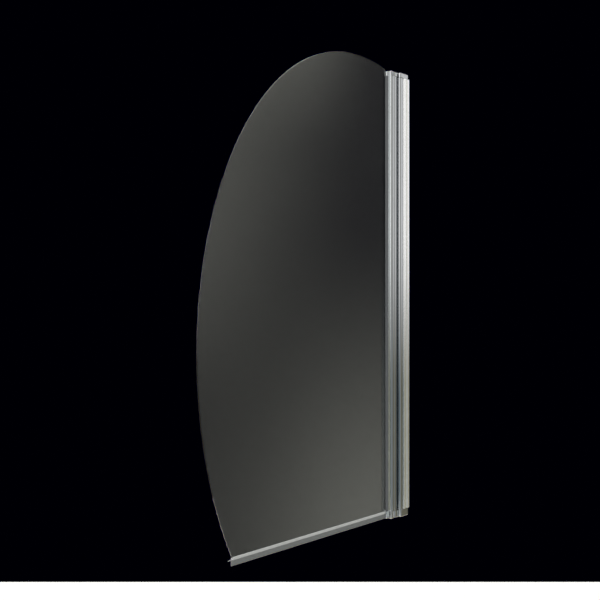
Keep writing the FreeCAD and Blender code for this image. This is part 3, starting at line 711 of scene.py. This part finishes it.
def make_cap_screw(s, x, y, end):
    outer, inner, inward = cap_levels(end)
    seat = outer + inward * getattr(s, "head_seat_" + end)
    crown = seat - inward * s.head_height
    head = rod((x, y, seat), "Z", s.cap_screw_head, crown - seat, 48)
    round_end(head, crown, s.cap_screw_crown, 6)
    neck, tip = seat - inward * OVER, inner + inward * s.cap_screw_bite
    shank = rod((x, y, neck), "Z", s.cap_screw, tip - neck, 32)
    weld(head, round_end(shank, tip, s.cap_screw_tip, 3))
    long, short, deep = CAP_SCREW_CROSS
    levels = (crown - inward * OVER, crown + inward * deep)
    for arm_x, arm_y in ((long, short), (short, long)):
        carve(head, span_block((x - arm_x, x + arm_x), (y - arm_y, y + arm_y), levels))
    return smooth(head)


def make_glass(s):
    # Half axes of the leaning ellipse that just reaches the glass's left side and its crown
    half_width = s.sweep_centre_x - GLASS_LOW.x
    centre_z = BASE + s.sweep_centre_z
    half_height = GLASS_HIGH.z - centre_z
    total = half_height ** 2 + half_width ** 2
    apart = (half_height ** 2 - half_width ** 2) / math.cos(2 * s.sweep_lean)
    long_half, short_half = math.sqrt((total + apart) / 2), math.sqrt((total - apart) / 2)
    put_down()
    bpy.ops.mesh.primitive_circle_add(
        vertices=512, radius=1, fill_type="NGON",
        location=(s.sweep_centre_x, GLASS_HIGH.y, centre_z),
    )
    pane = bpy.context.object
    pane.rotation_euler = (math.pi / 2, -s.sweep_lean, 0)
    pane.scale = (short_half, long_half, 1)
    settle()
    slice_off(pane, (0, 0, GLASS_LOW.z), (0, 0, -1), False)
    clip = (GLASS_HIGH.x, 0, TOP - s.glass_clip)
    slice_off(pane, clip, (1, 0, 0), False)
    slice_off(pane, clip, (1, 0, 1), False)
    # The low outer corner, where the swept edge meets the straight one. The points beside it
    # give way to its rounding
    foot = [v.co.copy() for v in pane.data.vertices if abs(v.co.z - GLASS_LOW.z) < NEAR]
    corner = min(foot, key=lambda p: p.x)
    room, setback = 1.5 * s.glass_corner, 0.55 * s.glass_corner
    if any(NEAR < (v.co - corner).length < room for v in pane.data.vertices):
        pick(pane, "VERT", lambda v: NEAR < (v.co - corner).length < room)
        bpy.ops.mesh.dissolve_verts()
    pick(pane, "VERT", lambda v: (v.co - corner).length < NEAR)
    bpy.ops.mesh.bevel(offset=setback, segments=6, affect="VERTICES")
    bpy.ops.mesh.select_all(action="SELECT")
    thickness = GLASS_HIGH.y - GLASS_LOW.y
    bpy.ops.mesh.extrude_region_move(TRANSFORM_OT_translate={"value": (0, -thickness, 0)})
    bpy.ops.mesh.select_all(action="SELECT")
    bpy.ops.mesh.normals_make_consistent(inside=False)
    bpy.ops.object.mode_set(mode="OBJECT")
    round_edges(pane, lambda a, b: abs(a.y - b.y) < NEAR, s.glass_arris, 2)
    return smooth(pane, 20)


def make_gasket(s, side, box, thickness, reach):
    """A tongue in the slot and a wedge from the profile's edge on to one face of the glass."""
    low, high = box
    root, spread = (GLASS_LOW.y, low.y) if side < 0 else (GLASS_HIGH.y, high.y)
    tall, face_x = (low.z, high.z), PROFILE_LOW.x
    # The tongue starts a little inside the wedge
    tongue_x = (face_x - 0.2 * MM, face_x + s.gasket_grip)
    tongue = span_block(tongue_x, (root, root + side * thickness), tall)
    wedge = span_block((face_x - reach - OVER, face_x), (root, spread + side * OVER), tall)
    slice_off(wedge, (face_x - reach, root, 0), (-abs(spread - root), side * reach, 0))
    return smooth(ease(weld(tongue, wedge), s.small_edge, 3, 40))


def make_packer(s):
    far = (SPACER_HIGH.x, SPACER_HIGH.y, SPACER_LOW.z + s.packer)
    return smooth(ease(block(SPACER_LOW, far), s.soft_edge, 3))


def make_seal_clip(s):
    body = block(CLIP_LOW, CLIP_HIGH)
    run = (CLIP_LOW.x - OVER, CLIP_HIGH.x + OVER)
    crown = CLIP_HIGH.z + OVER
    carve(body, span_block(run, (GLASS_LOW.y, GLASS_HIGH.y), (GLASS_LOW.z, crown)))
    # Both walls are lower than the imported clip, the wet side's more so, and the free end is
    # shorter than the lips
    dry_z, wet_z = CLIP_HIGH.z - s.clip_front_drop, CLIP_HIGH.z - s.clip_back_drop
    carve(body, span_block(run, (CLIP_LOW.y - OVER, GLASS_HIGH.y), (dry_z, crown)))
    carve(body, span_block(run, (GLASS_HIGH.y - OVER, CLIP_HIGH.y + OVER), (wet_z, crown)))
    slice_off(body, (CLIP_LOW.x + s.clip_trim, 0, 0), (-1, 0, 0))
    return smooth(ease(body, s.clip_edge, 4))


def make_wiper(s):
    low, high = WIPER_LOW, WIPER_HIGH
    body = block(low, high)
    # Below its straight top the wet side leans in, by a part of the lip's thickness
    straight, taper = 0.3, 0.45
    start = (0, high.y, high.z - straight * (high.z - low.z))
    lean = (0, (1 - straight) * (high.z - low.z), -taper * (high.y - low.y))
    slice_off(body, start, lean)
    return smooth(ease(body, s.soft_edge, 3, 25), 40)


def make_drip_fin(s):
    body = block(FIN_LOW, FIN_HIGH)
    back = CLIP_HIGH.y
    down = Vector((0, math.cos(s.fin_slope), -math.sin(s.fin_slope)))
    up = Vector((0, -down.z, down.y))
    root = Vector((0, back, FIN_HIGH.z))
    slice_off(body, root, up)
    slice_off(body, root - up * s.lip_thickness, -up)
    slice_off(body, root + down * ((FIN_HIGH.y - back) / down.y), down)
    return smooth(ease(body, s.soft_edge, 3, 30), 40)


def make_pin(s, end):
    low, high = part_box("pivot_pin_" + end)
    pin = rod((PIVOT.x, 0, low.z), "Z", s.pin, high.z - low.z, 48)
    return smooth(ease(pin, s.pin_edge, 3))


def make_bush(s, end):
    inner, inward = cap_levels(end)[1:]
    far = inner + inward * s.pin_reach
    # The sleeve starts a little inside its flange
    start = inner - inward * 0.5 * MM
    sleeve = rod((PIVOT.x, 0, start), "Z", s.knuckle_bore, far - start, 96)
    flange_end = inner - inward * s.bush_flange_thickness
    weld(sleeve, rod((PIVOT.x, 0, flange_end), "Z", s.bush_flange, inner - flange_end, 96))
    mouth, through = flange_end - inward * OVER, far - flange_end + 2 * inward * OVER
    carve(sleeve, rod((PIVOT.x, 0, mouth), "Z", s.bush_bore, through))
    return smooth(ease(sleeve, s.small_edge))


def make_adjuster_screw(s, z):
    x = s.adjuster_x
    seat = CHANNEL_HIGH.y + s.washer_gap + s.washer_thickness
    crown = seat + s.head_height
    head = rod((x, seat, z), "Y", s.adjuster_head, s.head_height, 48)
    round_edges(head, lambda a, b: min(a.y, b.y) > crown - NEAR, s.adjuster_crown, 5)
    foot = POST_HIGH.y - s.adjuster_bite
    shank = rod((x, foot, z), "Y", s.adjuster_screw, seat - foot + OVER, 32)
    round_edges(shank, lambda a, b: max(a.y, b.y) < foot + NEAR, s.adjuster_tip, 3)
    weld(head, shank)
    long, short, deep = ADJUSTER_CROSS
    levels = (crown - deep, crown + OVER)
    for arm_x, arm_z in ((long, short), (short, long)):
        carve(head, span_block((x - arm_x, x + arm_x), levels, (z - arm_z, z + arm_z)))
    return smooth(head)


def make_washer(s, z):
    start, thick = CHANNEL_HIGH.y + s.washer_gap, s.washer_thickness
    disc = rod((s.adjuster_x, start, z), "Y", s.washer, thick)
    hole = rod((s.adjuster_x, start - OVER, z), "Y", s.washer_hole, thick + 2 * OVER, 48)
    return smooth(ease(carve(disc, hole), s.thin_edge))


def make_cover(s, z):
    low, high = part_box("adjuster_covers")
    cup = rod((s.adjuster_x, low.y, z), "Y", s.cover, high.y - low.y, 96)
    round_edges(cup, lambda a, b: min(a.y, b.y) > high.y - NEAR, s.cover_crown, 6)
    deep = high.y - low.y - s.cover_wall
    place = (s.adjuster_x, low.y - OVER, z)
    carve(cup, rod(place, "Y", s.cover - s.cover_wall, deep + OVER, 96))
    round_edges(cup, lambda a, b: max(a.y, b.y) < low.y + NEAR, s.thin_edge, 2)
    return smooth(cup)


# Operators


class BATH_SCREEN_OT_wall_channel(bpy.types.Operator):
    """Wall channel with its flute, screw holes and adjuster slots"""

    bl_idname = "bath_screen.wall_channel"
    bl_label = "Wall channel"

    def execute(self, context):
        piece = make_wall_channel(context.scene.bath_screen_sizes)
        present(piece, "channel_extrusion", "wall", "bright_anodised_aluminium", "wall_channel")
        return {"FINISHED"}


class BATH_SCREEN_OT_hinge_post(bpy.types.Operator):
    """Sliding hinge post and the rubber strip in its face"""

    bl_idname = "bath_screen.hinge_post"
    bl_label = "Hinge post"

    def execute(self, context):
        s = context.scene.bath_screen_sizes
        present(make_hinge_post(s), "post_extrusion", "post", "chromed_extrusion", "hinge_post")
        present(make_seam_strip(s), "seam_rubber", "post", "epdm_rubber", "seam_strip")
        return {"FINISHED"}


class BATH_SCREEN_OT_pivot_profile(bpy.types.Operator):
    """Fluted pivot profile that grips the glass"""

    bl_idname = "bath_screen.pivot_profile"
    bl_label = "Pivot profile"

    def execute(self, context):
        piece = make_pivot_profile(context.scene.bath_screen_sizes)
        present(piece, "profile_extrusion", "screen", "chromed_extrusion", "pivot_profile")
        return {"FINISHED"}


class BATH_SCREEN_OT_end_caps(bpy.types.Operator):
    """End caps of the post and of the pivot profile"""

    bl_idname = "bath_screen.end_caps"
    bl_label = "End caps"

    def execute(self, context):
        s = context.scene.bath_screen_sizes
        for end in ENDS:
            cap = make_post_cap(s, end)
            present(cap, "boss_cap_" + end, "post", "chromed_casting", "post_cap_" + end)
            cap = make_pivot_cap(s, end)
            present(cap, "nose_cap_" + end, "screen", "chromed_casting", "pivot_cap_" + end)
        return {"FINISHED"}


class BATH_SCREEN_OT_cap_screws(bpy.types.Operator):
    """Pan-head screws that hold the end caps"""

    bl_idname = "bath_screen.cap_screws"
    bl_label = "Cap screws"

    def execute(self, context):
        s = context.scene.bath_screen_sizes
        steel = "turned_stainless_steel"
        to_profile = (s.profile_port_x - s.post_port_x, s.profile_port_y + s.post_port_y, 0)
        for end in ENDS:
            front = make_cap_screw(s, s.post_port_x, -s.post_port_y, end)
            back = copy_to(front, (0, 2 * s.post_port_y, 0))
            third = copy_to(front, to_profile)
            present(front, f"post_screw_{end}_front", "post", steel, "post_cap_screws")
            present(back, f"post_screw_{end}_back", "post", steel, "post_cap_screws")
            present(third, "pivot_screw_" + end, "screen", steel, "pivot_cap_screws")
        return {"FINISHED"}


class BATH_SCREEN_OT_pivots(bpy.types.Operator):
    """Steel pins and the nylon bushes that turn on them"""

    bl_idname = "bath_screen.pivots"
    bl_label = "Pins and bushes"

    def execute(self, context):
        s = context.scene.bath_screen_sizes
        for end in ENDS:
            pin, bush = make_pin(s, end), make_bush(s, end)
            present(pin, "hinge_pin_" + end, "post", "turned_stainless_steel", "pivot_pin_" + end)
            present(bush, "hinge_bush_" + end, "screen", "moulded_nylon", "pivot_bush_" + end)
        return {"FINISHED"}


class BATH_SCREEN_OT_adjusters(bpy.types.Operator):
    """Screws that lock the post in the channel, with their washers and covers"""

    bl_idname = "bath_screen.adjusters"
    bl_label = "Adjusters"

    def execute(self, context):
        s = context.scene.bath_screen_sizes
        heights = fixing_heights(s.adjuster_inset)
        kinds = (
            ("lock_screw", make_adjuster_screw, "adjuster_screws", "turned_stainless_steel"),
            ("lock_washer", make_washer, "adjuster_washers", "turned_stainless_steel"),
            ("lock_cover", make_cover, "adjuster_covers", "chromed_casting"),
        )
        for name, make, node, finish_name in kinds:
            first = make(s, heights[0])
            made = [first] + [copy_to(first, (0, 0, z - heights[0])) for z in heights[1:]]
            for number, piece in enumerate(made, 1):
                present(piece, f"{name}_{number}", "post", finish_name, node)
        return {"FINISHED"}


class BATH_SCREEN_OT_glass(bpy.types.Operator):
    """Half-moon pane with a ground and polished edge"""

    bl_idname = "bath_screen.glass"
    bl_label = "Glass"

    def execute(self, context):
        pane = make_glass(context.scene.bath_screen_sizes)
        present(pane, "half_moon_pane", "screen", "toughened_glass", "glass_panel")
        return {"FINISHED"}


class BATH_SCREEN_OT_glazing(bpy.types.Operator):
    """Gaskets on both faces of the glass and the packers behind its edge"""

    bl_idname = "bath_screen.glazing"
    bl_label = "Glazing"

    def execute(self, context):
        s = context.scene.bath_screen_sizes
        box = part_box("glazing_gasket_front")
        dry = make_gasket(s, -1, box, s.front_gasket, PROFILE_LOW.x - box[0].x)
        present(dry, "gasket_dry_side", "screen", "grey_vinyl", "glazing_gasket_front")
        wet = make_gasket(s, 1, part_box("glazing_gasket_back"), s.back_gasket, s.back_bead)
        present(wet, "gasket_wet_side", "screen", "grey_vinyl", "glazing_gasket_back")
        first = make_packer(s)
        rise = (SPACER_HIGH.z - SPACER_LOW.z - s.packer) / 2
        packers = [first] + [copy_to(first, (0, 0, step * rise)) for step in (1, 2)]
        for number, packer in enumerate(packers, 1):
            name = f"glass_packer_{number}"
            present(packer, name, "screen", "moulded_nylon", "glass_spacers")
        return {"FINISHED"}


class BATH_SCREEN_OT_bottom_seal(bpy.types.Operator):
    """Clip, wiper and drip fin along the bottom edge"""

    bl_idname = "bath_screen.bottom_seal"
    bl_label = "Bottom seal"

    def execute(self, context):
        s = context.scene.bath_screen_sizes
        present(make_seal_clip(s), "seal_clip", "screen", "hard_pvc", "seal_carrier")
        present(make_wiper(s), "seal_lip_upright", "screen", "soft_pvc", "seal_wiper")
        present(make_drip_fin(s), "seal_lip_sloping", "screen", "soft_pvc", "seal_drip_fin")
        return {"FINISHED"}


# Stage. Directions are in degrees: the azimuth from +X towards +Y, and the elevation.

CAMERA_PLACE = (-1.91875, -1.50148, -0.01604)
CAMERA_HEADING = 44.2
LENS = 45.86
FLOOR_Z = -1.25
# Floor's sides from the line of sight, and its near and far edges from the camera
FLOOR_SIDES = (-1.35, 1.35)
FLOOR_DEPTH = (0.4, 3.345)
BASE_LIGHT = 0.1
# Each panel: azimuths where it starts, is full, is still full and ends, elevations where it
# starts and is full, strength and tint. The last two go all round.
PANELS = (
    ((-86, -70, -58, -40), (-11, 14), 0.9, "#FFFFF2"),
    ((-58, -52, -46, -39.4), (10, 26), 0.9, "#FFFFF2"),
    ((-57, -40.5, -39.8, -39.4), (7, -20), 0.86, "#FFFFF2"),
    ((-75, -60, -56, -46), (14, -3), 0.22, "#FFFFF2"),
    ((-39.5, -39.0, -30, -20), (-7, 5), 0.95, "#FFFFFF"),
    ((-39.5, -39.0, -30, -20), (3, -7), 0.15, "#F4ECB0"),
    ((-114, -102, -88, -76), (-8, 6), 0.22, "#FFFFFF"),
    ((-112, -98, -66, -56), (4, -8), 0.4, "#D8E6F0"),
    ((-138.4, -137.6, -118, -106), (-8, 6), 0.5, "#FFFFFF"),
    ((148, 166, 217.4, 218.2), (-8, 6), 2.1, "#FFFFFF"),
    ((176, 196, 242, 256), (4, -8), 0.22, "#8CC8E0"),
    ((-141.8, -141.3, -139, -138.5), (9, -20), 1.8, "#FFFFF2"),
    ((112, 128, 150, 164), (-7, 6), 1.05, "#FFFFFF"),
    ((112, 128, 156, 174), (4, -8), 0.24, "#F0EABC"),
    ((-8, 12, 100, 120), (-10, 14), 0.8, "#FFFFFF"),
    (None, (-8, 8), 0.04, "#FFFFFF"),
    (None, (48, 66), 1.5, "#FFFFFF"),
)


def light_world(backdrop):
    """Soft panels all round and overhead, with a dark background past and through the object."""
    world = bpy.data.worlds.new("studio")
    bpy.context.scene.world = world
    world.use_nodes = True
    tree = world.node_tree
    tree.nodes.clear()
    way = add_node(tree, "ShaderNodeTexCoord").outputs["Generated"]
    up = add_node(tree, "ShaderNodeSeparateXYZ", links={"Vector": way}).outputs["Z"]
    elevation = add_node(tree, "ShaderNodeMath", links={0: up}, operation="ARCSINE")
    glow = add_node(tree, "ShaderNodeCombineXYZ", dict.fromkeys("XYZ", BASE_LIGHT))
    for azimuths, heights, strength, tint in PANELS:
        fades = [(elevation, *heights)]
        if azimuths:
            start, full, still, end = azimuths
            middle = (full + still) / 2
            turned = add_node(
                tree, "ShaderNodeVectorRotate", {"Angle": -math.radians(middle)},
                {"Vector": way}, rotation_type="Z_AXIS",
            )
            flat = add_node(
                tree, "ShaderNodeSeparateXYZ", links={"Vector": turned.outputs["Vector"]}
            )
            offset = add_node(
                tree, "ShaderNodeMath", links={0: flat.outputs["Y"], 1: flat.outputs["X"]},
                operation="ARCTAN2",
            )
            fades.append((offset, start - middle, full - middle))
            fades.append((offset, end - middle, still - middle))
        light = dict(zip("XYZ", (strength * c for c in linear(tint))))
        panel = add_node(tree, "ShaderNodeCombineXYZ", light)
        for source, dark_at, full_at in fades:
            limits = {"From Min": math.radians(dark_at), "From Max": math.radians(full_at)}
            ramp = add_node(
                tree, "ShaderNodeMapRange", limits, {"Value": source.outputs["Value"]},
                interpolation_type="SMOOTHSTEP",
            )
            panel = add_node(
                tree, "ShaderNodeVectorMath",
                links={0: panel.outputs["Vector"], "Scale": ramp.outputs["Result"]},
                operation="SCALE",
            )
        glow = add_node(
            tree, "ShaderNodeVectorMath",
            links={0: glow.outputs["Vector"], 1: panel.outputs["Vector"]}, operation="ADD",
        )
    studio = add_node(tree, "ShaderNodeBackground", links={"Color": glow.outputs["Vector"]})
    dark = add_node(tree, "ShaderNodeBackground", {"Color": (*backdrop, 1)})
    # A ray that has only passed through glass counts as a look at the background. Mirror rays
    # also carry the transmission flag inside smooth glass, so their number of bounces tells them.
    path = add_node(tree, "ShaderNodeLightPath")
    straight = add_node(
        tree, "ShaderNodeMath", {1: 0.5}, {0: path.outputs["Glossy Depth"]},
        operation="LESS_THAN",
    )
    through = add_node(
        tree, "ShaderNodeMath", operation="MULTIPLY",
        links={0: straight.outputs["Value"], 1: path.outputs["Is Transmission Ray"]},
    )
    seen = add_node(
        tree, "ShaderNodeMath", operation="MAXIMUM",
        links={0: through.outputs["Value"], 1: path.outputs["Is Camera Ray"]},
    )
    either = add_node(
        tree, "ShaderNodeMixShader",
        links={0: seen.outputs["Value"], 1: studio.outputs["Background"],
               2: dark.outputs["Background"]},
    )
    add_node(tree, "ShaderNodeOutputWorld", links={"Surface": either.outputs["Shader"]})


class BATH_SCREEN_OT_stage(bpy.types.Operator):
    """Floor, soft studio light and camera"""

    bl_idname = "bath_screen.stage"
    bl_label = "Stage"

    def execute(self, context):
        scene = context.scene
        heading = math.radians(CAMERA_HEADING)
        ahead = Vector((math.sin(heading), math.cos(heading), 0))
        across = Vector((ahead.y, -ahead.x, 0))
        place = Vector(CAMERA_PLACE)
        near, far = FLOOR_DEPTH
        left, right = FLOOR_SIDES
        middle = place + ahead * (near + far) / 2 + across * (left + right) / 2
        put_down()
        bpy.ops.mesh.primitive_plane_add(
            size=1, location=(middle.x, middle.y, FLOOR_Z), rotation=(0, 0, -heading)
        )
        floor = context.object
        floor.scale = (right - left, far - near, 1)
        settle()
        floor.name = "floor"
        floor.data.materials.append(finish("painted_floor"))

        light_world(scene.bath_screen_colours.backdrop)

        lens = bpy.data.cameras.new("camera")
        lens.lens = LENS
        lens.sensor_width = 36
        camera = bpy.data.objects.new("camera", lens)
        scene.collection.objects.link(camera)
        camera.location = place
        camera.rotation_euler = (math.pi / 2, 0, -heading)
        scene.camera = camera
        scene.view_settings.view_transform = "Standard"
        return {"FINISHED"}


STEPS = (
    BATH_SCREEN_OT_wall_channel,
    BATH_SCREEN_OT_hinge_post,
    BATH_SCREEN_OT_pivot_profile,
    BATH_SCREEN_OT_end_caps,
    BATH_SCREEN_OT_cap_screws,
    BATH_SCREEN_OT_pivots,
    BATH_SCREEN_OT_adjusters,
    BATH_SCREEN_OT_glass,
    BATH_SCREEN_OT_glazing,
    BATH_SCREEN_OT_bottom_seal,
    BATH_SCREEN_OT_stage,
)


class BATH_SCREEN_PT_panel(bpy.types.Panel):
    """Sizes, colours and one button for each group of pieces"""

    bl_idname = "BATH_SCREEN_PT_panel"
    bl_label = "Bath Screen"
    bl_space_type = "VIEW_3D"
    bl_region_type = "UI"
    bl_category = "Bath Screen"

    def draw(self, context):
        column = self.layout.column()
        for step in STEPS:
            column.operator(step.bl_idname)
        for group in (context.scene.bath_screen_sizes, context.scene.bath_screen_colours):
            for name in group.__annotations__:
                column.prop(group, name)


CLASSES = (ScreenSizes, ScreenColours, *STEPS, BATH_SCREEN_PT_panel)


def register():
    for kind in CLASSES:
        bpy.utils.register_class(kind)
    bpy.types.Scene.bath_screen_sizes = bpy.props.PointerProperty(type=ScreenSizes)
    bpy.types.Scene.bath_screen_colours = bpy.props.PointerProperty(type=ScreenColours)


def unregister():
    del bpy.types.Scene.bath_screen_colours
    del bpy.types.Scene.bath_screen_sizes
    for kind in reversed(CLASSES):
        bpy.utils.unregister_class(kind)


def main():
    register()
    for step in STEPS:
        group, name = step.bl_idname.split(".")
        getattr(getattr(bpy.ops, group), name)()


if __name__ == "__main__":
    main()
